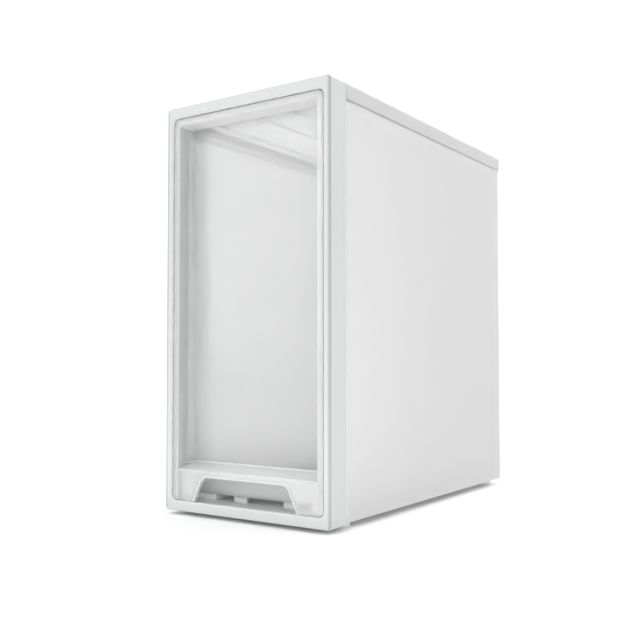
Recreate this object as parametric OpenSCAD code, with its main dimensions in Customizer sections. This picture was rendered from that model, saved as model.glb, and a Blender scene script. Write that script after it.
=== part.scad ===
// Stackable drawer box: a tall, narrow case that stands on four low feet, with one clear
// drawer that pulls straight out of its front. The case is a kit of moulded panels: a front
// frame, two side panels, a back, a base with runners, and a top cover with a stacking rim.
// Millimetres. X to the right seen from the front, Y to the rear, Z up. The origin is on
// the floor, at the centre of the footprint.

/* [Case] */
// Overall width, over the front frame and the top cover
case_w = 194; // [170:1:240]
// Overall depth, from the front face to the rear of the top cover
case_d = 384; // [320:1:440]
// Overall height, from the floor to the stacking rim
case_h = 400; // [300:1:440]
// Height of the front frame above the floor
foot_h = 4; // [3:0.5:8]
// Thickness of the side, back and base panels
wall = 2.2; // [1.8:0.1:3]
// How far the front frame and the top cover stand proud of a side panel
proud = 1.5; // [1:0.1:2]
// How far the top cover overhangs the back panel
rear_overhang = 2.5; // [2:0.1:4]
// Radius of the long edges of the frame and the cover
corner_r = 4; // [3:0.5:6]

/* [Front frame] */
// Depth of the front frame along the sides
frame_d = 25.5; // [20:0.5:35]
// Width of the frame's face beside the opening
side_lip = 7.5; // [6.5:0.5:10]
// Height of the frame's face above the opening
top_lip = 10.8; // [9:0.1:16]
// Height of the frame's face below the opening
bottom_lip = 10; // [9:0.5:14]
// Thickness of the frame's face
lip_t = 2.4; // [2:0.1:3]
// Thickness of the jamb round the opening
jamb_t = 1.8; // [1.4:0.1:2]
// Radius of the frame's front edges
front_edge_r = 1.6; // [1:0.1:1.8]

/* [Side panels] */
// Width of the sloping step that runs along the frame and the cover
step_w = 5; // [3:0.5:8]
// Thinnest edge of the frame and cover at the step
step_edge = 0.3; // [0.2:0.1:0.6]
// Height of the panels' lower edge above the frame's lower edge
panel_raise = 2.5; // [1.5:0.5:4]
// Radius of a side panel's lower rear corner
panel_corner_r = 6; // [4:0.5:10]
// Radius of a side panel's rear edge
panel_edge_r = 2; // [1:0.1:2.2]
// How far a panel reaches into the front frame
panel_tuck = 14; // [8:1:18]

/* [Top cover] */
// Height of the cover's skirt
skirt_h = 16; // [14:1:24]
// Width of the raised stacking rim
rim_w = 7; // [6:0.5:10]
// Depth of the stacking recess inside the rim
recess_d = 5; // [4.5:0.5:8]
// Height of the ribs under the deck
deck_rib_h = 2; // [1.4:0.2:5]
// Thickness of the ribs under the deck and the base
rib_t = 1.6; // [1.2:0.1:2.2]
// Distance of the outer ribs from the middle
outer_rib_x = 72; // [60:1:76]
// Distance of the inner ribs from the middle
inner_rib_x = 20; // [12:1:30]

/* [Base and runners] */
// Distance of a runner's inner edge from the middle
runner_in = 57; // [45:1:62]
// Height of a runner above the base
runner_h = 6; // [5:0.5:10]
// Height of the fence that guides the drawer's side, above the runner
fence_h = 8; // [5:1:14]
// Thickness of a fence
fence_t = 2.2; // [1.8:0.1:3]
// Distance of the stops from the middle
stop_x = 30; // [20:1:36]
// Width of a stop
stop_w = 16; // [10:1:20]
// Number of ribs that run across under the base
cross_ribs = 3; // [2:1:5]

/* [Feet] */
// Radius of a foot
foot_r = 12; // [9:0.5:14]
// Wall of the socket round a foot's plug
socket_wall = 2; // [1.5:0.1:3]
// Radius of a foot's lower edge
foot_edge_r = 1.5; // [0.5:0.1:2]

/* [Drawer] */
// Thickness of the tray's walls and floor
tray_wall = 2; // [1.6:0.1:2.6]
// Radius of the tray's long lower corners
tray_r = 12; // [8:1:16]
// Height of the tray's rim below the opening's upper edge
tray_drop = 13; // [12:1:40]
// How far the tray's rim stands out of its walls
tray_flange = 1.8; // [1:0.1:2]
// Depth of the tray's front wall behind the case's front face
tray_front = 29; // [27.5:0.5:40]
// Room between the closed drawer and the back panel
back_room = 6.7; // [4:0.1:12]
// Distance of the stop lugs from the rear of the tray
lug_inset = 19; // [10:1:60]
// Thickness of a stop lug, and of the stop that it meets
lug_t = 4; // [3:0.5:6]
// Depth over which a lug and its stop meet
lug_grip = 3; // [2:0.1:3.4]
// Gap between the tray's rim and the rail that keeps the open drawer from tipping
tip_gap = 1; // [0.5:0.1:2]

/* [Drawer front] */
// Gap between the drawer front and the frame at each side
reveal = 1.3; // [0.8:0.1:2]
// Gap between the drawer front and the frame at the top
top_reveal = 0.9; // [0.6:0.1:2]
// Gap between the drawer front and the sill
sill_gap = 0.6; // [0.4:0.1:1.5]
// How far the drawer front lies behind the case's front face
front_setback = 0.8; // [0.4:0.1:1.5]
// Width of the bead round the drawer front
bead_w = 6.5; // [5.5:0.1:7]
// Thickness of the bead
bead_t = 3; // [2.5:0.1:4]
// Radius of the bead's edges
bead_edge_r = 1.8; // [1:0.1:2.2]
// Radius of the drawer front's outer corners
front_r = 5; // [4:0.5:8]
// Radius of the corners of the recess in the drawer front
recess_r = 3; // [2:0.5:6]
// Thickness of the window, the ledge and the pull panel
window_t = 2.2; // [1.8:0.1:3]
// Depth of the window behind the case's front face, at the ledge
window_low = 26.6; // [24:0.1:26.6]
// Depth of the window behind the case's front face, at the top
window_high = 21.5; // [18:0.5:24]
// Draft of the recess's sides
recess_draft = 1.2; // [0.6:0.1:1.4]
// Thickness of the skirt behind the bead
skirt_t = 1.5; // [1.2:0.1:2]
// Depth of the skirt behind the bead
skirt_d = 10; // [6:1:14]

/* [Finger pull] */
// Depth of the pull panel behind the face of the bead
pull_d = 0.7; // [0.4:0.1:2]
// Height of the ledge's front edge above the sill
ledge_front_h = 30.8; // [28:0.1:40]
// Rise of the ledge from its front edge to the window
ledge_rise = 4.8; // [2:0.1:8]
// Radius of the ledge's front edge
ledge_r = 2.4; // [2:0.1:2.6]
// Width of the finger arch at the sill
arch_low_w = 122; // [105:1:132]
// Width of the finger arch at its top, corners left out
arch_top_w = 99; // [80:1:104]
// Height of the finger arch above the sill
arch_h = 24.5; // [18:0.5:25]
// Radius of the finger arch's corners
arch_r = 8; // [5:0.5:10]
// Width of the lip round the finger arch
arch_lip_w = 1.4; // [1:0.1:2]
// How far the lip round the finger arch reaches behind the pull panel
arch_lip_d = 1.2; // [0.6:0.1:2]
// Radius of the fillets at the ends of the finger pocket
pocket_r = 6; // [3:0.5:8]

/* [Fits] */
// Running clearance between the drawer and what guides it
run_gap = 0.3; // [0.3:0.05:0.8]
// Clearance between a plug and its socket
plug_gap = 0.15; // [0.1:0.05:0.3]
// Clearance round a foot that stands in the stacking recess
stack_gap = 1; // [0.5:0.1:2]

/* [Hidden] */
$fn = 64;

// Reach of a cutter past what it cuts
cut = 1;
case_colour = [0.93, 0.94, 0.94];
panel_colour = [0.86, 0.87, 0.87];
foot_colour = [0.80, 0.81, 0.81];
clear_colour = [0.90, 0.94, 0.95, 0.45];

// Case planes
front_y = -case_d / 2;
rear_y = case_d / 2;
half_w = case_w / 2;
panel_x = half_w - proud;
panel_in_x = panel_x - wall;
panel_rear_y = rear_y - rear_overhang;
panel_low_z = foot_h + panel_raise;
cover_y = front_y + frame_d;
skirt_z = case_h - skirt_h;

// Opening of the front frame
opening_x = half_w - side_lip;
sill_z = foot_h + bottom_lip;
opening_top_z = case_h - top_lip;
opening_r = front_r + reveal;

// Top cover
deck_z = case_h - recess_d;
deck_low_z = deck_z - wall;
groove_z = case_h - wall;
groove_in_x = half_w - rim_w + wall;
recess_x = half_w - rim_w;
recess_front_y = cover_y + wall;
recess_rear_y = rear_y - rim_w;
cover_corner_r = panel_edge_r + rear_overhang;

// Base and runners
base_z = sill_z - jamb_t;
base_low_z = base_z - wall;
runner_z = base_z + runner_h;
// Room at the ends of the runners
runner_room = 2 * wall;
runner_front_y = cover_y + runner_room;
tray_z = runner_z + run_gap;
stop_y = runner_front_y + runner_room;
stop_top_z = tray_z - tip_gap;

// Drawer
bead_y = front_y + front_setback;
rim_x = opening_x - reveal;
rim_low_z = sill_z + sill_gap;
rim_top_z = opening_top_z - top_reveal;
tray_x = rim_x - skirt_t - run_gap;
tray_in_x = tray_x - tray_wall;
tray_y = front_y + tray_front;
tray_top_z = opening_top_z - tray_drop;
tray_rear_y = panel_rear_y - wall - back_room;
lug_y = tray_rear_y - lug_inset;
recess_half = rim_x - bead_w;
recess_top_z = rim_top_z - bead_w;
recess_low_z = rim_low_z + bead_w / 2;
recess_wall = bead_w - (rim_x - tray_in_x + run_gap);
// Reach of the window's ends into the sides of the recess
window_sink = recess_wall / 4;

// Finger pull
pull_y = bead_y + pull_d;
pull_rear_y = pull_y + window_t;
ledge_front_z = sill_z + ledge_front_h;
ledge_rear_z = ledge_front_z + ledge_rise;
window_low_y = front_y + window_low;
window_high_y = front_y + window_high;

// Feet
foot_x = recess_x - stack_gap - foot_r;
plug_r = foot_r - socket_wall;
socket_r = foot_r + socket_wall;
foot_front_y = recess_front_y + stack_gap + foot_r;
foot_rear_y = panel_rear_y - panel_corner_r - socket_r;

// Extrudes a shape drawn in X and Z from y0 to y1.
module along_y(y0, y1) {
    translate([0, y1, 0]) rotate([90, 0, 0]) linear_extrude(y1 - y0) children();
}

// Extrudes a shape drawn in Y and Z from x0 to x1.
module along_x(x0, x1) {
    translate([x0, 0, 0]) rotate([90, 0, 90]) linear_extrude(x1 - x0) children();
}

// Extrudes a shape drawn in X and Y from z0 to z1.
module along_z(z0, z1) {
    translate([0, 0, z0]) linear_extrude(z1 - z0) children();
}

// Box between two corners.
module block(low, high) {
    translate(low) cube(high - low);
}

module rect(low, high) {
    translate(low) square(high - low);
}

module rounded_rect(low, high, r) {
    rect([low.x + r, low.y], [high.x - r, high.y]);
    rect([low.x, low.y + r], [high.x, high.y - r]);
    for (x = [low.x + r, high.x - r], y = [low.y + r, high.y - r]) {
        translate([x, y]) circle(r);
    }
}

// Copies a child to the right and, mirrored, to the left.
module both_sides() {
    children();
    mirror([1, 0, 0]) children();
}

// Sweeps a moulding round a rounded rectangle that stands in X and Z. The child is the
// moulding's section: X is the distance in from the outer face, Y the distance back.
module ring_sweep(half_width, z0, z1, r) {
    x = half_width - r;
    both_sides() {
        translate([half_width, 0, z0 + r]) linear_extrude(z1 - z0 - 2 * r) mirror([1, 0]) children();
    }
    translate([-x, 0, z1]) rotate([90, 0, 90]) linear_extrude(2 * x) rotate(-90) children();
    translate([-x, 0, z0]) rotate([90, 0, 90]) linear_extrude(2 * x) mirror([1, -1]) children();
    corners = [[x, z0 + r], [-x, z0 + r], [-x, z1 - r], [x, z1 - r]];
    for (i = [0 : 3]) {
        translate([corners[i].x, 0, corners[i].y]) rotate([0, 90 * i, 0]) rotate([-90, 0, 0]) {
            rotate_extrude(angle = 90) translate([r, 0]) mirror([1, 0]) children();
        }
    }
}

// Section of the frame's outer band, with its rounded front edge.
module band_section() {
    rect([0, front_edge_r], [proud, frame_d]);
    rect([front_edge_r, 0], [corner_r - cut / 2, lip_t]);
    intersection() {
        translate([front_edge_r, front_edge_r]) circle(front_edge_r);
        rect([0, 0], [corner_r, front_edge_r]);
    }
}

// Section of the jamb: X is negative, outwards from the edge of the opening.
module jamb_section() {
    jamb_d = frame_d - wall;
    rect([-jamb_t, front_edge_r], [0, jamb_d]);
    rect([-2 * jamb_t, 0], [-front_edge_r, lip_t]);
    intersection() {
        translate([-front_edge_r, front_edge_r]) circle(front_edge_r);
        rect([-2 * jamb_t, 0], [0, front_edge_r]);
    }
}

// Face of the frame between the outer band and the jamb.
module frame_face() {
    inset = corner_r - cut;
    difference() {
        rounded_rect([-half_w + inset, foot_h + inset], [half_w - inset, case_h - inset], cut);
        rounded_rect(
            [-opening_x - jamb_t, sill_z - jamb_t],
            [opening_x + jamb_t, opening_top_z + jamb_t],
            opening_r + jamb_t
        );
    }
}

module front_frame() {
    color(case_colour) translate([0, front_y, 0]) {
        ring_sweep(half_w, foot_h, case_h, corner_r) band_section();
        along_y(0, lip_t) frame_face();
        ring_sweep(opening_x, sill_z, opening_top_z, opening_r) jamb_section();
    }
}

// Section of the cover's edge: X is the distance in from the outer face, Y is height.
module cover_edge_section(edge_w) {
    difference() {
        intersection() {
            union() {
                rect([0, skirt_z + step_edge], [edge_w, case_h - corner_r]);
                rect([corner_r, skirt_z], [corner_r + edge_w, case_h]);
                rect([step_edge, skirt_z], [edge_w, case_h - corner_r]);
                translate([corner_r, case_h - corner_r]) circle(corner_r);
            }
            rect([0, skirt_z], [edge_w, case_h]);
        }
        rect([proud, skirt_z - cut], [edge_w + cut, groove_z]);
    }
}

// Edge of the cover along both sides and the rear.
module cover_edge() {
    r = cover_corner_r;
    x = half_w - r;
    y = rear_y - r;
    both_sides() {
        along_y(cover_y, y) translate([half_w, 0]) mirror([1, 0]) cover_edge_section(r);
        translate([x, y, 0]) rotate_extrude(angle = 90) {
            translate([r, 0]) mirror([1, 0]) cover_edge_section(r);
        }
    }
    along_x(-x, x) translate([rear_y, 0]) mirror([1, 0]) cover_edge_section(r);
}

module top_cover() {
    r = cover_corner_r;
    color(case_colour) {
        cover_edge();
        // Rim and its inner wall, down to the deck
        difference() {
            block([-half_w + r, cover_y, deck_low_z], [half_w - r, rear_y - r, case_h]);
            block(
                [-recess_x, recess_front_y, deck_z],
                [recess_x, recess_rear_y, case_h + cut]
            );
            // Groove that takes the panels' upper edges
            difference() {
                block(
                    [-half_w, cover_y - cut, deck_low_z - cut],
                    [half_w, rear_y, groove_z]
                );
                block(
                    [-groove_in_x, cover_y, deck_low_z - 2 * cut],
                    [groove_in_x, recess_rear_y + wall, groove_z + cut]
                );
            }
        }
        // Tongue that reaches into the front frame
        block(
            [-opening_x, cover_y - panel_tuck, deck_low_z],
            [opening_x, cover_y + cut, deck_z]
        );
        // Ribs under the deck
        for (x = [-outer_rib_x, -inner_rib_x, inner_rib_x, outer_rib_x]) {
            block(
                [x - rib_t / 2, recess_front_y, deck_low_z - deck_rib_h],
                [x + rib_t / 2, recess_rear_y, deck_low_z + cut]
            );
        }
    }
}

// Side panel's outline in Y and Z.
module panel_outline() {
    r = panel_corner_r;
    rect([cover_y, panel_low_z], [panel_rear_y - r, groove_z]);
    rect([cover_y, panel_low_z + r], [panel_rear_y, groove_z]);
    translate([panel_rear_y - r, panel_low_z + r]) circle(r);
    // Tongue that reaches into the front frame
    rect([cover_y - panel_tuck, sill_z], [cover_y + cut, opening_top_z]);
}

// Side panel's plan: a flat wall with a rounded rear edge.
module panel_plan() {
    r = panel_edge_r;
    rect([panel_in_x, cover_y - panel_tuck], [panel_x, panel_rear_y - r]);
    rect([panel_in_x, panel_rear_y - r - cut], [panel_x - r, panel_rear_y]);
    intersection() {
        translate([panel_x - r, panel_rear_y - r]) circle(r);
        rect([panel_in_x, front_y], [panel_x, panel_rear_y]);
    }
}

// Sloping step that fills the corner between the panel and the frame and cover.
module panel_step() {
    edge_x = half_w - step_edge;
    difference() {
        block([panel_x - step_edge, cover_y, panel_low_z], [edge_x, panel_rear_y - panel_edge_r, skirt_z]);
        intersection() {
            along_z(panel_low_z - cut, skirt_z + cut) polygon([
                [edge_x + cut, cover_y],
                [edge_x, cover_y],
                [panel_x, cover_y + step_w],
                [panel_x, rear_y],
                [edge_x + cut, rear_y]
            ]);
            along_y(cover_y - cut, rear_y) polygon([
                [edge_x + cut, skirt_z],
                [edge_x, skirt_z],
                [panel_x, skirt_z - step_w],
                [panel_x, panel_low_z - cut],
                [edge_x + cut, panel_low_z - cut]
            ]);
        }
    }
}

// Rail above the tray's rim, which keeps the open drawer from tipping.
module tip_rail() {
    rail_z = tray_top_z + tip_gap;
    block(
        [tray_x + run_gap, cover_y + wall, rail_z],
        [panel_in_x + wall / 2, tray_rear_y, rail_z + wall]
    );
}

module side_panel() {
    intersection() {
        along_x(panel_in_x - cut, half_w) panel_outline();
        along_z(0, case_h) panel_plan();
    }
    panel_step();
    tip_rail();
}

module right_side_panel() {
    color(panel_colour) side_panel();
}

module left_side_panel() {
    color(panel_colour) mirror([1, 0, 0]) side_panel();
}

module back_panel() {
    low_z = panel_low_z + panel_corner_r;
    in_y = panel_rear_y - wall;
    color(panel_colour) {
        block([-panel_in_x, in_y, low_z], [panel_in_x, panel_rear_y, groove_z]);
        // Ribs that the closed drawer rests against
        for (x = [-stop_x, stop_x]) {
            block(
                [x - rib_t / 2, tray_rear_y + run_gap, base_z + runner_h],
                [x + rib_t / 2, in_y + cut, tray_top_z]
            );
        }
    }
}

// Base with its curved rear edge, in Y and Z.
module base_section() {
    r = panel_corner_r;
    centre = [panel_rear_y - r, panel_low_z + r];
    rect([cover_y - panel_tuck, base_low_z], [centre.x, base_z]);
    rect([cover_y, panel_low_z], [cover_y + wall, base_z]);
    intersection() {
        difference() {
            translate(centre) circle(r);
            translate(centre) circle(r - wall);
        }
        rect([centre.x, panel_low_z - cut], [panel_rear_y + cut, centre.y]);
    }
    rect([centre.x - wall, panel_low_z], [centre.x, base_z]);
}

module foot_places() {
    for (x = [-foot_x, foot_x], y = [foot_front_y, foot_rear_y]) {
        translate([x, y, 0]) children();
    }
}

module base_panel() {
    r = panel_corner_r;
    skirt_rear_y = panel_rear_y - r;
    fence_x = tray_x + run_gap;
    runner_rear_y = skirt_rear_y - runner_room;
    color(panel_colour) difference() {
        union() {
            along_x(-panel_in_x, panel_in_x) base_section();
            both_sides() {
                block([panel_in_x - wall, cover_y, panel_low_z], [panel_in_x, skirt_rear_y, base_z]);
                // Runner and fence
                along_y(runner_front_y, runner_rear_y) {
                    rect([runner_in, base_z - cut], [fence_x + fence_t, runner_z]);
                    rect([fence_x, runner_z - cut], [fence_x + fence_t, runner_z + fence_h]);
                }
                // Stop for the open drawer
                block(
                    [stop_x - stop_w / 2, stop_y, base_z - cut],
                    [stop_x + stop_w / 2, stop_y + lug_t, stop_top_z]
                );
            }
            // Ribs under the base
            for (x = [-inner_rib_x, inner_rib_x]) {
                block([x - rib_t / 2, cover_y, panel_low_z], [x + rib_t / 2, skirt_rear_y, base_z - cut]);
            }
            for (i = [1 : cross_ribs]) {
                y = cover_y + i * (skirt_rear_y - cover_y) / (cross_ribs + 1);
                block([-panel_in_x, y - rib_t / 2, panel_low_z], [panel_in_x, y + rib_t / 2, base_z - cut]);
            }
            foot_places() translate([0, 0, panel_low_z]) cylinder(r = socket_r, h = base_z - panel_low_z);
        }
        foot_places() translate([0, 0, panel_low_z - cut]) {
            cylinder(r = plug_r + plug_gap, h = base_low_z - panel_low_z + cut);
        }
    }
}

// Foot, standing on the floor at the origin, with the plug that holds it in its socket.
module foot() {
    rotate_extrude() {
        rect([0, 0], [foot_r - foot_edge_r, panel_low_z]);
        rect([0, foot_edge_r], [foot_r, panel_low_z]);
        translate([foot_r - foot_edge_r, foot_edge_r]) circle(foot_edge_r);
        rect([0, panel_low_z - cut], [plug_r, base_low_z - plug_gap]);
    }
}

module front_left_foot() {
    color(foot_colour) translate([-foot_x, foot_front_y, 0]) foot();
}

module front_right_foot() {
    color(foot_colour) translate([foot_x, foot_front_y, 0]) foot();
}

module rear_left_foot() {
    color(foot_colour) translate([-foot_x, foot_rear_y, 0]) foot();
}

module rear_right_foot() {
    color(foot_colour) translate([foot_x, foot_rear_y, 0]) foot();
}

// Tray's section in X and Z, moved in by a wall thickness.
module tray_section(inset) {
    x = tray_x - inset;
    r = tray_r - inset;
    z = tray_z + inset;
    rect([-x, z + r], [x, tray_top_z + inset]);
    rect([-x + r, z], [x - r, z + r]);
    both_sides() translate([x - r, z + r]) circle(r);
}

module drawer_tray() {
    cheek_y = bead_y + bead_t;
    cheek_low_z = tray_z + tray_r;
    front_top_z = ledge_rear_z - window_t;
    color(clear_colour) {
        difference() {
            union() {
                along_y(tray_y, tray_rear_y) tray_section(0);
                both_sides() block([tray_in_x, cheek_y, cheek_low_z], [tray_x, tray_y + cut, tray_top_z]);
            }
            along_y(tray_y + tray_wall, tray_rear_y - tray_wall) tray_section(tray_wall);
            // Mouth above the low front wall
            block(
                [-tray_in_x, tray_y - cut, front_top_z],
                [tray_in_x, tray_y + tray_wall + cut, tray_top_z + cut]
            );
        }
        // Rim
        both_sides() {
            block(
                [tray_x - cut, bead_y + bead_t + skirt_d + cut, tray_top_z - tray_wall],
                [tray_x + tray_flange, tray_rear_y, tray_top_z]
            );
            // Lug that meets the stop when the drawer is open
            block(
                [stop_x - stop_w / 2, lug_y, stop_top_z - lug_grip],
                [stop_x + stop_w / 2, lug_y + lug_t, tray_z + cut]
            );
        }
    }
}

// Section of the drawer front's outer edge: half of the bead, and the skirt behind it.
module bead_outer_section() {
    r = bead_edge_r;
    rect([r, 0], [bead_w / 2, bead_t]);
    rect([0, r], [bead_w / 2, bead_t]);
    rect([0, r], [skirt_t, bead_t + skirt_d]);
    intersection() {
        translate([r, r]) circle(r);
        rect([0, 0], [bead_w / 2, r]);
    }
}

// Section of the recess's edge: the other half of the bead, and the sloping wall behind it.
// X is negative, outwards from the edge of the recess.
module bead_inner_section() {
    r = bead_edge_r;
    depth = tray_front - front_setback;
    rect([-bead_w / 2, 0], [-r, bead_t]);
    rect([-bead_w / 2, r], [0, bead_t]);
    intersection() {
        translate([-r, r]) circle(r);
        rect([-bead_w / 2, 0], [0, r]);
    }
    polygon([[-recess_wall, r], [0, r], [recess_draft, depth], [-recess_wall, depth]]);
}

// Face of the bead between its two edges.
module bead_face() {
    inset = bead_w / 2 - bead_edge_r / 2;
    difference() {
        rounded_rect(
            [-rim_x + inset, rim_low_z + inset],
            [rim_x - inset, rim_top_z - inset],
            front_r - inset
        );
        rounded_rect(
            [-recess_half - inset, rim_low_z + inset],
            [recess_half + inset, recess_top_z + inset],
            recess_r + inset
        );
    }
}

// Window, ledge and pull panel, in Y and Z.
module window_section() {
    polygon([
        [window_low_y, ledge_rear_z - window_t],
        [window_low_y + window_t, ledge_rear_z - window_t],
        [window_high_y + window_t, recess_top_z],
        [window_high_y, recess_top_z]
    ]);
    // Ledge, hooked over the tray's front wall
    polygon([
        [pull_y + ledge_r, ledge_front_z],
        [window_low_y, ledge_rear_z],
        [tray_y + tray_wall, ledge_rear_z],
        [tray_y + tray_wall, ledge_rear_z - window_t],
        [window_low_y, ledge_rear_z - window_t],
        [pull_y + ledge_r, ledge_front_z - window_t]
    ]);
    translate([pull_y + ledge_r, ledge_front_z - ledge_r]) circle(ledge_r);
    rect([pull_y, rim_low_z], [pull_rear_y, ledge_front_z - ledge_r]);
}

// Everything behind the drawer front's rear faces, in Y and Z.
module behind_front() {
    gap = run_gap;
    polygon([
        [tray_y - gap, 0],
        [tray_y - gap, ledge_rear_z - window_t],
        [window_low_y + window_t, ledge_rear_z],
        [window_high_y + window_t, recess_top_z],
        [window_high_y + window_t, case_h],
        [rear_y, case_h],
        [rear_y, 0]
    ]);
}

// Finger arch in X and Z, grown all round: sloping sides and a flat top with rounded corners.
module arch_outline(grow) {
    lean = (arch_low_w - arch_top_w) / 2 / arch_h;
    slope = atan(lean);
    r = arch_r + grow;
    top_z = sill_z + arch_h;
    low_x = arch_low_w / 2 + grow / cos(slope) + cut * lean;
    centre = [arch_top_w / 2 - arch_r * (1 - sin(slope)) / cos(slope), top_z - arch_r];
    tangent = centre + r * [cos(slope), sin(slope)];
    polygon([
        [-low_x, sill_z - cut],
        [low_x, sill_z - cut],
        tangent,
        [centre.x, top_z + grow],
        [-centre.x, top_z + grow],
        [-tangent.x, tangent.y]
    ]);
    both_sides() translate(centre) circle(r);
}

// Lip round the finger arch, still filled.
module arch_lip() {
    intersection() {
        along_y(bead_y, pull_rear_y + arch_lip_d) arch_outline(arch_lip_w);
        block([-rim_x, front_y, rim_low_z], [rim_x, rear_y, ledge_front_z]);
    }
}

// Fillet where the pull panel meets the end of the finger pocket, in X and Y.
module pocket_fillet() {
    x = recess_half;
    y = pull_rear_y;
    difference() {
        rect([x - pocket_r, y - window_t / 2], [x, y + pocket_r]);
        translate([x - pocket_r, y + pocket_r]) circle(pocket_r);
    }
}

// Bead round the drawer front, the skirt behind it and the sloping walls of the recess.
module bead_and_recess() {
    ring_sweep(rim_x, rim_low_z, rim_top_z, front_r) bead_outer_section();
    along_y(0, bead_t) bead_face();
    // Recess, open at the bottom, where the pull panel takes the bead's place
    intersection() {
        ring_sweep(recess_half, sill_z - bead_w, recess_top_z, recess_r) bead_inner_section();
        block([-rim_x, 0, recess_low_z], [rim_x, tray_front, rim_top_z]);
    }
}

module drawer_front() {
    window_x = recess_half + window_sink;
    pull_top_z = ledge_front_z - ledge_r;
    color(clear_colour) difference() {
        union() {
            difference() {
                translate([0, bead_y, 0]) bead_and_recess();
                // Room in front of the pull panel
                block([-recess_half, front_y - cut, 0], [recess_half, pull_y, pull_top_z]);
                // Room behind the pull panel
                block([-recess_half, bead_y + bead_t, 0], [recess_half, tray_y, pull_top_z]);
            }
            along_x(-window_x, window_x) window_section();
            both_sides() along_z(rim_low_z, pull_top_z) pocket_fillet();
            arch_lip();
        }
        along_x(-half_w, half_w) difference() {
            behind_front();
            rect(
                [window_low_y, ledge_rear_z - window_t],
                [tray_y + tray_wall, ledge_rear_z]
            );
        }
        along_y(front_y - cut, pull_rear_y + pocket_r) arch_outline(0);
    }
}

front_frame();
top_cover();
left_side_panel();
right_side_panel();
back_panel();
base_panel();
front_left_foot();
front_right_foot();
rear_left_foot();
rear_right_foot();
drawer_tray();
drawer_front();
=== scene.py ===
"""Looks of the stackable drawer box: plastics, studio light and camera around its CAD model.

Metres, in the model's own frame: X to the right seen from the front, Y to the rear, Z up,
with the origin on the floor.
"""
import math

import bpy
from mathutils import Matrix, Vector


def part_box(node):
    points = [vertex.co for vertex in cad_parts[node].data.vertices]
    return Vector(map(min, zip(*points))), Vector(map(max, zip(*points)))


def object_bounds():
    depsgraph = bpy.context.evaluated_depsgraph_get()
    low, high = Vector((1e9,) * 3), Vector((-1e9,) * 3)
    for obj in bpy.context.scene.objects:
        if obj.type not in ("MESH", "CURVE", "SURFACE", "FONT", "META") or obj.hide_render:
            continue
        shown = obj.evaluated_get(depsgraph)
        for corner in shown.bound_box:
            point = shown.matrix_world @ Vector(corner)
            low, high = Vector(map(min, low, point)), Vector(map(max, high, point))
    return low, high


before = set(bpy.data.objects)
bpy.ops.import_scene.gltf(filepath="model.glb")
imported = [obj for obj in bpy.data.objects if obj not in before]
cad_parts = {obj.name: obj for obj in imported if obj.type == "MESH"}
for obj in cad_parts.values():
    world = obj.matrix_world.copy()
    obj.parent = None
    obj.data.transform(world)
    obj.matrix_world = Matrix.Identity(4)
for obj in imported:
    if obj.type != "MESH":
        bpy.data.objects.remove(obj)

CAD_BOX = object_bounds()
MM = 0.001

# Camera, as the photograph was taken
CAMERA_PLACE = (0.4995, -0.8065, 0.1504)
CAMERA_YAW = math.radians(34.593)
CAMERA_PITCH = math.radians(2.224)
CAMERA_LENS = 49.57
CAMERA_SENSOR = 36.0
CAMERA_SHIFT_Y = 0.027

# Studio
FLOOR_SIZE = 12.0
FLOOR_COLOUR = (0.97, 0.97, 0.97, 1)
FLOOR_GLOW = 0.02
FLOOR_ROUGHNESS = 0.9
POOL_GLOW = 1.15
POOL_GAP = 0.01
POOL_RISE = 0.05
POOL_END = 0.45
POOL_FADE = 0.33
BACKDROP_COLOUR = (1.0, 1.0, 1.0, 1)
BACKDROP_LIGHT = 1.1
HORIZON_LIGHT = 0.97
ZENITH_LIGHT = 1.3

# Case: depths are how far light scatters inside the plastic
POLYPROPYLENE_IOR = 1.49
EVEN_SCATTER = (1, 1, 1)
FRAME_ROUGHNESS = 0.22
GLOSS_WHITE = (0.56, 0.572, 0.57, 1)
GLOSS_CLOUD = (0.545, 0.56, 0.558, 1)
# Painted shade: a grey colour laid on the front frame's two vertical front corners
CORNER_PAINTED_SHADE = (0.38, 0.40, 0.40, 1)
CORNER_SHADE_SPREAD = 2 * MM
CORNER_SHADE_CORE = 0.7 * MM
CORNER_SHADE_SQUEEZE = 0.5
SKIN_DEPTH = 0.3 * MM
SKIN_BLEND = 0.5 * MM
# Painted light: the frame's faces away from its outer skin get this whiter colour, on top of their
# real translucency
INNER_PAINTED_LIGHT = (0.97, 0.972, 0.972, 1)
INNER_DEPTH = 12 * MM
CASE_ROUGHNESS = 0.45
COVER_ROUGHNESS = 0.35
FOOT_ROUGHNESS = 0.6
MATTE_WHITE = (0.96, 0.96, 0.96, 1)
MATTE_CLOUD = (0.94, 0.941, 0.942, 1)
MATTE_DEPTH = 16 * MM
COVER_DEPTH = 12 * MM
BASE_DEPTH = 4 * MM
FOOT_GREY = (0.80, 0.81, 0.81, 1)
FOOT_CLOUD = (0.74, 0.75, 0.76, 1)
FOOT_DEPTH = 2 * MM

# Clear drawer: hazes are the milky shares of its plastic
TRAY_ROUGHNESS = 0.08
FRONT_ROUGHNESS = 0.03
CLEAR_DEPTH = 4 * MM
CLEAR_TINT = (0.988, 0.99, 0.99, 1)
# Painted shade: the clear plastic's see-through colour greys towards this at a slant
GLANCE_PAINTED_SHADE = (0.56, 0.59, 0.59, 1)
GLANCE_SHADE_POWER = 4.0
CLEAR_IOR = 1.52
MILK_COLOUR = (0.975, 0.978, 0.978, 1)
MILK_CLOUD = (0.95, 0.958, 0.962, 1)
WINDOW_HAZE = 0.22
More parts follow.
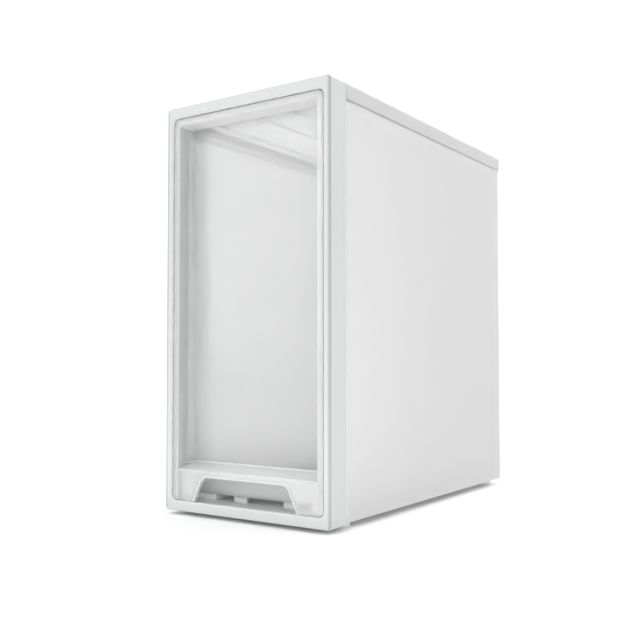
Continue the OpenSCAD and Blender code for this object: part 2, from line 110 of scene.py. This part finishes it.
# Painted reflection: extra haze that rises towards the top of the drawer front
PAINTED_VEIL_HAZE = 0.06
HAZE_BLEND = 1 * MM
BEAD_WIDTH = 6.5 * MM
BEAD_HAZE = 0.1
LEDGE_HEIGHT = 35 * MM
PULL_HAZE = 0.06
LIP_PROUD = 0.6 * MM
LIP_HAZE = 0.28
SEAM_WIDTH = 1.6 * MM
SEAM_HAZE = 0.6
SHELF_SLOPE = 0.6
SHELF_FLAT = 0.9
LEDGE_HAZE = 0.38
ROUND_HAZE = 0.25
TRAY_HAZE = 0.14
TRAY_FLOOR_HAZE = 0.25

# Skins: scales are in grains per metre, and spreads are shares of the roughness
NOISE_DETAIL = 2.0
NO_STRETCH = (1, 1, 1)
NOISE_LOW = 0.3
NOISE_HIGH = 0.7
CLOUD_SCALE = 14.0
WEAR_SCALE = 160.0
WEAR_DETAIL = 4.0
WEAR_SPREAD = 0.15
SCUFF_SPREAD = 0.5
SCUFF_STRETCH = (1, 1, 0.2)
FLOW_SCALE = 25.0
FLOW_HEIGHT = 0.02 * MM
EDGE_POLISH = 0.3
FLAT_FACING = 0.99
DIAGONAL_FACING = math.sqrt(0.5)
GRAIN_DETAIL = 1.0
SPARK_SCALE = 1500.0
SPARK_HEIGHT = 0.02 * MM
POLISH_SCALE = 900.0
POLISH_HEIGHT = 0.001 * MM
RIPPLE_SCALE = 18.0
RIPPLE_HEIGHT = 0.15 * MM


class Patch:
    """Soft-edged round patch of the studio's sky, full within inner degrees and gone at outer.

    light is what a light patch adds, or the share of the sky's light that a dim one leaves.
    """

    def __init__(self, towards, inner, outer, light):
        self.towards = Vector(towards).normalized()
        self.inner = math.cos(math.radians(inner))
        self.outer = math.cos(math.radians(outer))
        self.light = light


DIM_PATCHES = (
    Patch((0.57, -0.82, 0.20), 20, 55, 0.5),
    Patch((-1.00, 0.25, 0.10), 25, 85, 0.5),
)
LIGHT_PATCHES = (
    Patch((-0.72, -0.60, 0.35), 10, 32, 1.2),
    Patch((-0.75, 0.60, 0.25), 20, 75, 0.2),
    Patch((0.00, -1.00, 0.05), 30, 85, 0.4),
    Patch((0.85, 0.50, 0.10), 20, 60, 0.3),
)


def new_material(name):
    """Empty node material: returns it, its nodes and its output socket."""
    material = bpy.data.materials.new(name)
    material.use_nodes = True
    nodes = material.node_tree.nodes
    nodes.clear()
    output = nodes.new("ShaderNodeOutputMaterial")
    return material, nodes, output.inputs["Surface"]


def calculate(owner, operation, *values):
    """Socket of one sum in a material or world; each value is a socket or a number."""
    node = owner.node_tree.nodes.new("ShaderNodeMath")
    node.operation = operation
    for socket, value in zip(node.inputs, values):
        if isinstance(value, (int, float)):
            socket.default_value = value
        else:
            owner.node_tree.links.new(value, socket)
    return node.outputs[0]


def step(owner, value, start, end):
    """Socket that turns smoothly from 0 to 1 as value goes from start to end."""
    ramp = owner.node_tree.nodes.new("ShaderNodeMapRange")
    ramp.interpolation_type = "SMOOTHSTEP"
    ramp.inputs["From Min"].default_value = start
    ramp.inputs["From Max"].default_value = end
    owner.node_tree.links.new(value, ramp.inputs["Value"])
    return ramp.outputs[0]


def place_on(material):
    """Sockets: where a point of the surface is along X, Y and Z."""
    nodes = material.node_tree.nodes
    coords = nodes.new("ShaderNodeTexCoord")
    split = nodes.new("ShaderNodeSeparateXYZ")
    material.node_tree.links.new(coords.outputs["Object"], split.inputs[0])
    return split.outputs


def noise(material, scale, detail=NOISE_DETAIL, stretch=NO_STRETCH):
    """Socket of a solid noise from 0 to 1; scale is in grains per metre."""
    nodes = material.node_tree.nodes
    coords = nodes.new("ShaderNodeTexCoord")
    mapping = nodes.new("ShaderNodeMapping")
    mapping.inputs["Scale"].default_value = stretch
    grain = nodes.new("ShaderNodeTexNoise")
    grain.inputs["Scale"].default_value = scale
    grain.inputs["Detail"].default_value = detail
    material.node_tree.links.new(coords.outputs["Object"], mapping.inputs["Vector"])
    material.node_tree.links.new(mapping.outputs[0], grain.inputs["Vector"])
    return grain.outputs["Fac"]


def between(material, value, low, high):
    """Socket that runs from low to high over the middle of a noise."""
    spread = material.node_tree.nodes.new("ShaderNodeMapRange")
    ends = {"From Min": NOISE_LOW, "From Max": NOISE_HIGH, "To Min": low, "To Max": high}
    for name, number in ends.items():
        spread.inputs[name].default_value = number
    material.node_tree.links.new(value, spread.inputs["Value"])
    return spread.outputs[0]


def cloud(material, colour, other):
    """Colour socket that drifts slowly between two close colours, as a moulding does."""
    mix = material.node_tree.nodes.new("ShaderNodeMix")
    mix.data_type = "RGBA"
    mix.inputs["A"].default_value = colour
    mix.inputs["B"].default_value = other
    value = between(material, noise(material, CLOUD_SCALE), 0.0, 1.0)
    material.node_tree.links.new(value, mix.inputs["Factor"])
    return mix.outputs["Result"]


def mixed(material, share, colour, other):
    """Colour socket that turns from a colour socket to another colour as share rises."""
    mix = material.node_tree.nodes.new("ShaderNodeMix")
    mix.data_type = "RGBA"
    mix.inputs["B"].default_value = other
    material.node_tree.links.new(share, mix.inputs["Factor"])
    material.node_tree.links.new(colour, mix.inputs["A"])
    return mix.outputs["Result"]


def bump(material, height, distance, below=None):
    """Normal socket of a height, on top of the bump below it if there is one."""
    node = material.node_tree.nodes.new("ShaderNodeBump")
    node.inputs["Distance"].default_value = distance
    material.node_tree.links.new(height, node.inputs["Height"])
    if below:
        material.node_tree.links.new(below, node.inputs["Normal"])
    return node.outputs[0]


def slopes(material):
    """Sockets: how squarely the surface faces along X, Y and Z, from 0 to 1."""
    nodes = material.node_tree.nodes
    geometry = nodes.new("ShaderNodeNewGeometry")
    split = nodes.new("ShaderNodeSeparateXYZ")
    material.node_tree.links.new(geometry.outputs["Normal"], split.inputs[0])
    return [calculate(material, "ABSOLUTE", axis) for axis in split.outputs]


def roundness(material):
    """Socket: 0 on flat faces, rising to 1 halfway round the rounded edges between them."""
    x, y, z = slopes(material)
    widest = calculate(material, "MAXIMUM", x, calculate(material, "MAXIMUM", y, z))
    return step(material, widest, FLAT_FACING, DIAGONAL_FACING)


def scattering(material, depth):
    """Shader of a plastic that light scatters in, as far as depth."""
    shader = material.node_tree.nodes.new("ShaderNodeBsdfPrincipled")
    shader.inputs["Subsurface Weight"].default_value = 1.0
    shader.inputs["Subsurface Radius"].default_value = EVEN_SCATTER
    shader.inputs["Subsurface Scale"].default_value = depth
    return shader


def worn(material, roughness, spread, stretch=NO_STRETCH):
    """Roughness socket that varies by a share of the roughness, as handling leaves it."""
    wear = noise(material, WEAR_SCALE, WEAR_DETAIL, stretch)
    return between(material, wear, roughness * (1 - spread), roughness * (1 + spread))


def blended(owner, share, first, second):
    """Shader socket that turns from the first shader to the second as share rises."""
    mix = owner.node_tree.nodes.new("ShaderNodeMixShader")
    for socket, value in zip(mix.inputs, (share, first, second)):
        owner.node_tree.links.new(value, socket)
    return mix.outputs[0]


def moulded_plastic(name, colour, other, roughness, depth, grain_scale, grain_height):
    """Translucent white plastic whose grained or polished skin is smoother round its edges."""
    material, nodes, surface = new_material(name)
    link = material.node_tree.links.new
    shader = scattering(material, depth)
    shader.inputs["IOR"].default_value = POLYPROPYLENE_IOR
    link(cloud(material, colour, other), shader.inputs["Base Color"])
    rough = worn(material, roughness, WEAR_SPREAD)
    polish = calculate(material, "MULTIPLY_ADD", roundness(material), -EDGE_POLISH, 1)
    link(calculate(material, "MULTIPLY", rough, polish), shader.inputs["Roughness"])
    flow = bump(material, noise(material, FLOW_SCALE), FLOW_HEIGHT)
    grain = bump(material, noise(material, grain_scale, GRAIN_DETAIL), grain_height, flow)
    link(grain, shader.inputs["Normal"])
    link(shader.outputs[0], surface)
    return material, shader


def depths_inside(material, node):
    """Sockets: how far a point lies inside the node's sides, its front, and its top or bottom."""
    low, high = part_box(node)
    middle = (low + high) / 2
    reach = (high - low) / 2
    x, y, z = place_on(material)
    beside = calculate(material, "ABSOLUTE", calculate(material, "SUBTRACT", x, middle.x))
    above = calculate(material, "ABSOLUTE", calculate(material, "SUBTRACT", z, middle.z))
    return (
        calculate(material, "SUBTRACT", reach.x, beside),
        calculate(material, "SUBTRACT", y, low.y),
        calculate(material, "SUBTRACT", reach.z, above),
    )


def frame_plastic(name, node):
    """The front frame's plastic: solid outside, with painted shade on its two vertical front
    corners, and translucent inside, where a whiter colour is painted light.
    """
    material, shader = moulded_plastic(
        name, GLOSS_WHITE, GLOSS_CLOUD, FRAME_ROUGHNESS, INNER_DEPTH, POLISH_SCALE, POLISH_HEIGHT
    )
    beside, behind, above = depths_inside(material, node)
    # Painted shade: grey on the frame's vertical front corners, near both its sides and its front
    corner = calculate(material, "MULTIPLY", beside, CORNER_SHADE_SQUEEZE)
    corner = calculate(material, "MAXIMUM", corner, behind)
    corner = step(material, corner, CORNER_SHADE_SPREAD, CORNER_SHADE_CORE)
    # Inner faces: translucent, and coloured whiter than the outer skin as painted light
    below_skin = calculate(material, "MINIMUM", beside, behind)
    below_skin = calculate(material, "MINIMUM", below_skin, above)
    inside = step(material, below_skin, SKIN_DEPTH, SKIN_DEPTH + SKIN_BLEND)
    inside = calculate(material, "MULTIPLY", inside, calculate(material, "SUBTRACT", 1, corner))
    colour = shader.inputs["Base Color"].links[0].from_socket
    colour = mixed(material, corner, colour, CORNER_PAINTED_SHADE)
    colour = mixed(material, inside, colour, INNER_PAINTED_LIGHT)
    material.node_tree.links.new(colour, shader.inputs["Base Color"])
    material.node_tree.links.new(inside, shader.inputs["Subsurface Weight"])
    return material


def light_pool(material):
    """Socket: 1 on the floor in front of the object, 0 under it and far away."""
    front = CAD_BOX[0][1]
    x, y = place_on(material)[:2]
    ahead = calculate(material, "SUBTRACT", front, y)
    starts = step(material, ahead, POOL_GAP, POOL_GAP + POOL_RISE)
    ends = step(material, ahead, POOL_END, POOL_END - POOL_FADE)
    beside = step(material, calculate(material, "ABSOLUTE", x), POOL_END, POOL_END - POOL_FADE)
    return calculate(material, "MULTIPLY", calculate(material, "MULTIPLY", starts, ends), beside)


def floor_paper(name):
    """Matt white paper that throws more light up in front of the object, but looks no brighter."""
    material, nodes, surface = new_material(name)
    shader = nodes.new("ShaderNodeBsdfPrincipled")
    shader.inputs["Base Color"].default_value = FLOOR_COLOUR
    shader.inputs["Roughness"].default_value = FLOOR_ROUGHNESS
    shader.inputs["Specular IOR Level"].default_value = 0.0
    shader.inputs["Emission Color"].default_value = FLOOR_COLOUR
    bounce = nodes.new("ShaderNodeLightPath").outputs["Is Diffuse Ray"]
    pool = calculate(material, "MULTIPLY", light_pool(material), bounce)
    glow = calculate(material, "MULTIPLY_ADD", pool, POOL_GLOW, FLOOR_GLOW)
    material.node_tree.links.new(glow, shader.inputs["Emission Strength"])
    material.node_tree.links.new(shader.outputs[0], surface)
    return material


def see_through(material):
    """Shader socket of clear plastic, greyer where it is seen at a slant, as painted shade in
    place of what refraction shows there.
    """
    nodes = material.node_tree.nodes
    link = material.node_tree.links.new
    shader = nodes.new("ShaderNodeBsdfTransparent")
    slant = nodes.new("ShaderNodeLayerWeight")
    tint = nodes.new("ShaderNodeMix")
    tint.data_type = "RGBA"
    tint.inputs["A"].default_value = CLEAR_TINT
    tint.inputs["B"].default_value = GLANCE_PAINTED_SHADE
    slant_shade = calculate(material, "POWER", slant.outputs["Facing"], GLANCE_SHADE_POWER)
    link(slant_shade, tint.inputs["Factor"])
    link(tint.outputs["Result"], shader.inputs["Color"])
    return shader.outputs[0]


def milk(material, rough):
    """Shader socket of the haze in clear plastic."""
    link = material.node_tree.links.new
    shader = scattering(material, CLEAR_DEPTH)
    shader.inputs["Specular IOR Level"].default_value = 0.0
    link(cloud(material, MILK_COLOUR, MILK_CLOUD), shader.inputs["Base Color"])
    link(rough, shader.inputs["Roughness"])
    return shader.outputs[0]


def rippled_gloss(material, rough):
    """Shader socket of the reflections in a slightly wavy surface."""
    link = material.node_tree.links.new
    gloss = material.node_tree.nodes.new("ShaderNodeBsdfGlossy")
    link(rough, gloss.inputs["Roughness"])
    ripple = bump(material, noise(material, RIPPLE_SCALE), RIPPLE_HEIGHT)
    link(ripple, gloss.inputs["Normal"])
    return gloss.outputs[0]


def reflected_share(material):
    """Socket: the share of light that the surface reflects, met from outside or from inside."""
    nodes = material.node_tree.nodes
    link = material.node_tree.links.new
    side = nodes.new("ShaderNodeNewGeometry")
    ior = nodes.new("ShaderNodeMapRange")
    ior.inputs["To Min"].default_value = CLEAR_IOR
    ior.inputs["To Max"].default_value = 1 / CLEAR_IOR
    fresnel = nodes.new("ShaderNodeFresnel")
    link(side.outputs["Backfacing"], ior.inputs["Value"])
    link(ior.outputs[0], fresnel.inputs["IOR"])
    return fresnel.outputs[0]


def clear_plastic(name, roughness, haze):
    """Clear plastic with a milky haze: haze(material) gives the socket for its share."""
    material, nodes, surface = new_material(name)
    rough = worn(material, roughness, SCUFF_SPREAD, SCUFF_STRETCH)
    body = blended(material, haze(material), see_through(material), milk(material, rough))
    gloss = rippled_gloss(material, rough)
    skin = blended(material, reflected_share(material), body, gloss)
    material.node_tree.links.new(skin, surface)
    return material


def strongest(material, *hazes):
    """Socket of the largest share of haze."""
    largest = hazes[0]
    for haze in hazes[1:]:
        largest = calculate(material, "MAXIMUM", largest, haze)
    return largest


def front_haze(material):
    """Milky in the bead, the pull panel, its lips and the round edges, and least in the window,
    whose haze rises towards the top as a painted reflection veil.
    """
    low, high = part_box("drawer_front")
    x, y, z = place_on(material)

    def share(value, haze):
        return calculate(material, "MULTIPLY", value, haze)

    edge_x = high.x - BEAD_WIDTH
    across = step(material, calculate(material, "ABSOLUTE", x), edge_x - HAZE_BLEND, edge_x)
    above = step(material, z, high.z - BEAD_WIDTH - HAZE_BLEND, high.z - BEAD_WIDTH)
    bead = calculate(material, "MAXIMUM", across, above)
    ledge_z = low.z + LEDGE_HEIGHT
    panel = step(material, z, ledge_z + HAZE_BLEND, ledge_z)
    forward = step(material, y, low.y + LIP_PROUD, low.y + LIP_PROUD / 2)
    lip = share(forward, calculate(material, "SUBTRACT", panel, across))
    height = calculate(material, "ABSOLUTE", calculate(material, "SUBTRACT", z, ledge_z))
    seam = calculate(material, "SUBTRACT", step(material, height, SEAM_WIDTH, 0.0), across)
    shelf = step(material, slopes(material)[2], SHELF_SLOPE, SHELF_FLAT)
    upward = step(material, z, low.z, high.z)
    # The window's even haze, plus a painted reflection veil that grows towards the top
    haze_and_painted_veil = calculate(material, "MULTIPLY_ADD", upward, PAINTED_VEIL_HAZE, WINDOW_HAZE)
    local = strongest(
        material,
        share(bead, BEAD_HAZE),
        share(panel, PULL_HAZE),
        share(lip, LIP_HAZE),
        share(roundness(material), ROUND_HAZE),
        share(seam, SEAM_HAZE),
        share(shelf, LEDGE_HAZE),
    )
    return calculate(material, "ADD", local, haze_and_painted_veil)


def tray_haze(material):
    """An even haze, milkier towards the tray's foot."""
    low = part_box("drawer_tray")[0]
    z = place_on(material)[2]
    foot = step(material, z, low.z + 2 * LEDGE_HEIGHT, low.z)
    return calculate(material, "MULTIPLY_ADD", foot, TRAY_FLOOR_HAZE, TRAY_HAZE)


def dress(material, *names):
    """Give the named CAD nodes the material."""
    for name in names:
        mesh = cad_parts[name].data
        mesh.materials.clear()
        mesh.materials.append(material)


def add_camera():
    """The photograph's view."""
    camera = bpy.data.cameras.new("camera")
    camera.lens = CAMERA_LENS
    camera.sensor_width = CAMERA_SENSOR
    camera.shift_y = CAMERA_SHIFT_Y
    place = bpy.data.objects.new("camera", camera)
    place.location = CAMERA_PLACE
    place.rotation_euler = (math.pi / 2 + CAMERA_PITCH, 0, CAMERA_YAW)
    bpy.context.scene.collection.objects.link(place)
    bpy.context.scene.camera = place


def add_floor():
    """A sheet of paper under the object, far past the camera's view."""
    half = FLOOR_SIZE / 2
    mesh = bpy.data.meshes.new("floor")
    corners = [(-half, -half, 0), (half, -half, 0), (half, half, 0), (-half, half, 0)]
    mesh.from_pydata(corners, [], [(0, 1, 2, 3)])
    floor = bpy.data.objects.new("floor", mesh)
    bpy.context.scene.collection.objects.link(floor)
    mesh.materials.append(floor_paper("floor_paper"))


def patch_share(world, direction, patch):
    """Socket: 1 within the sky's patch, 0 outside."""
    facing = world.node_tree.nodes.new("ShaderNodeVectorMath")
    facing.operation = "DOT_PRODUCT"
    facing.inputs[1].default_value = patch.towards
    world.node_tree.links.new(direction, facing.inputs[0])
    return step(world, facing.outputs["Value"], patch.outer, patch.inner)


def sky_strength(world):
    """Socket: how bright the sky is in each direction, with its patches."""
    nodes = world.node_tree.nodes
    link = world.node_tree.links.new
    direction = nodes.new("ShaderNodeTexCoord").outputs["Generated"]
    split = nodes.new("ShaderNodeSeparateXYZ")
    height = nodes.new("ShaderNodeMapRange")
    height.inputs["To Min"].default_value = HORIZON_LIGHT
    height.inputs["To Max"].default_value = ZENITH_LIGHT
    link(direction, split.inputs[0])
    link(split.outputs["Z"], height.inputs["Value"])
    strength = height.outputs[0]
    for patch in DIM_PATCHES:
        share = patch_share(world, direction, patch)
        kept = calculate(world, "MULTIPLY_ADD", share, patch.light - 1, 1)
        strength = calculate(world, "MULTIPLY", strength, kept)
    for patch in LIGHT_PATCHES:
        share = patch_share(world, direction, patch)
        strength = calculate(world, "MULTIPLY_ADD", share, patch.light, strength)
    return strength


def add_world():
    """White backdrop to the camera; to the object, a pale sky with soft patches."""
    world = bpy.data.worlds.new("studio")
    world.use_nodes = True
    nodes = world.node_tree.nodes
    link = world.node_tree.links.new
    nodes.clear()
    backdrop = nodes.new("ShaderNodeBackground")
    backdrop.inputs["Color"].default_value = BACKDROP_COLOUR
    backdrop.inputs["Strength"].default_value = BACKDROP_LIGHT
    sky = nodes.new("ShaderNodeBackground")
    sky.inputs["Color"].default_value = BACKDROP_COLOUR
    link(sky_strength(world), sky.inputs["Strength"])
    seen = nodes.new("ShaderNodeLightPath").outputs["Is Camera Ray"]
    output = nodes.new("ShaderNodeOutputWorld")
    link(blended(world, seen, sky.outputs[0], backdrop.outputs[0]), output.inputs["Surface"])
    bpy.context.scene.world = world


def grained_plastic(name, colour, other, roughness, depth):
    """Moulded plastic with the grain of a spark-eroded mould."""
    return moulded_plastic(
        name, colour, other, roughness, depth, SPARK_SCALE, SPARK_HEIGHT
    )[0]


def case_plastic(name, roughness, depth):
    """The white of the case's matte pieces."""
    return grained_plastic(name, MATTE_WHITE, MATTE_CLOUD, roughness, depth)


CASE_MATTE = case_plastic("case_matte", CASE_ROUGHNESS, MATTE_DEPTH)
CASE_COVER = case_plastic("case_cover", COVER_ROUGHNESS, COVER_DEPTH)
CASE_BASE = case_plastic("case_base", CASE_ROUGHNESS, BASE_DEPTH)
FOOT_PLASTIC = grained_plastic(
    "foot_plastic", FOOT_GREY, FOOT_CLOUD, FOOT_ROUGHNESS, FOOT_DEPTH
)
dress(frame_plastic("case_gloss", "front_frame"), "front_frame")
dress(CASE_COVER, "top_cover")
dress(CASE_MATTE, "left_side_panel", "right_side_panel", "back_panel")
dress(CASE_BASE, "base_panel")
dress(FOOT_PLASTIC, "front_left_foot", "front_right_foot", "rear_left_foot", "rear_right_foot")
dress(clear_plastic("clear_tray", TRAY_ROUGHNESS, tray_haze), "drawer_tray")
dress(clear_plastic("clear_front", FRONT_ROUGHNESS, front_haze), "drawer_front")
add_floor()
add_world()
add_camera()
bpy.context.scene.view_settings.view_transform = "Standard"
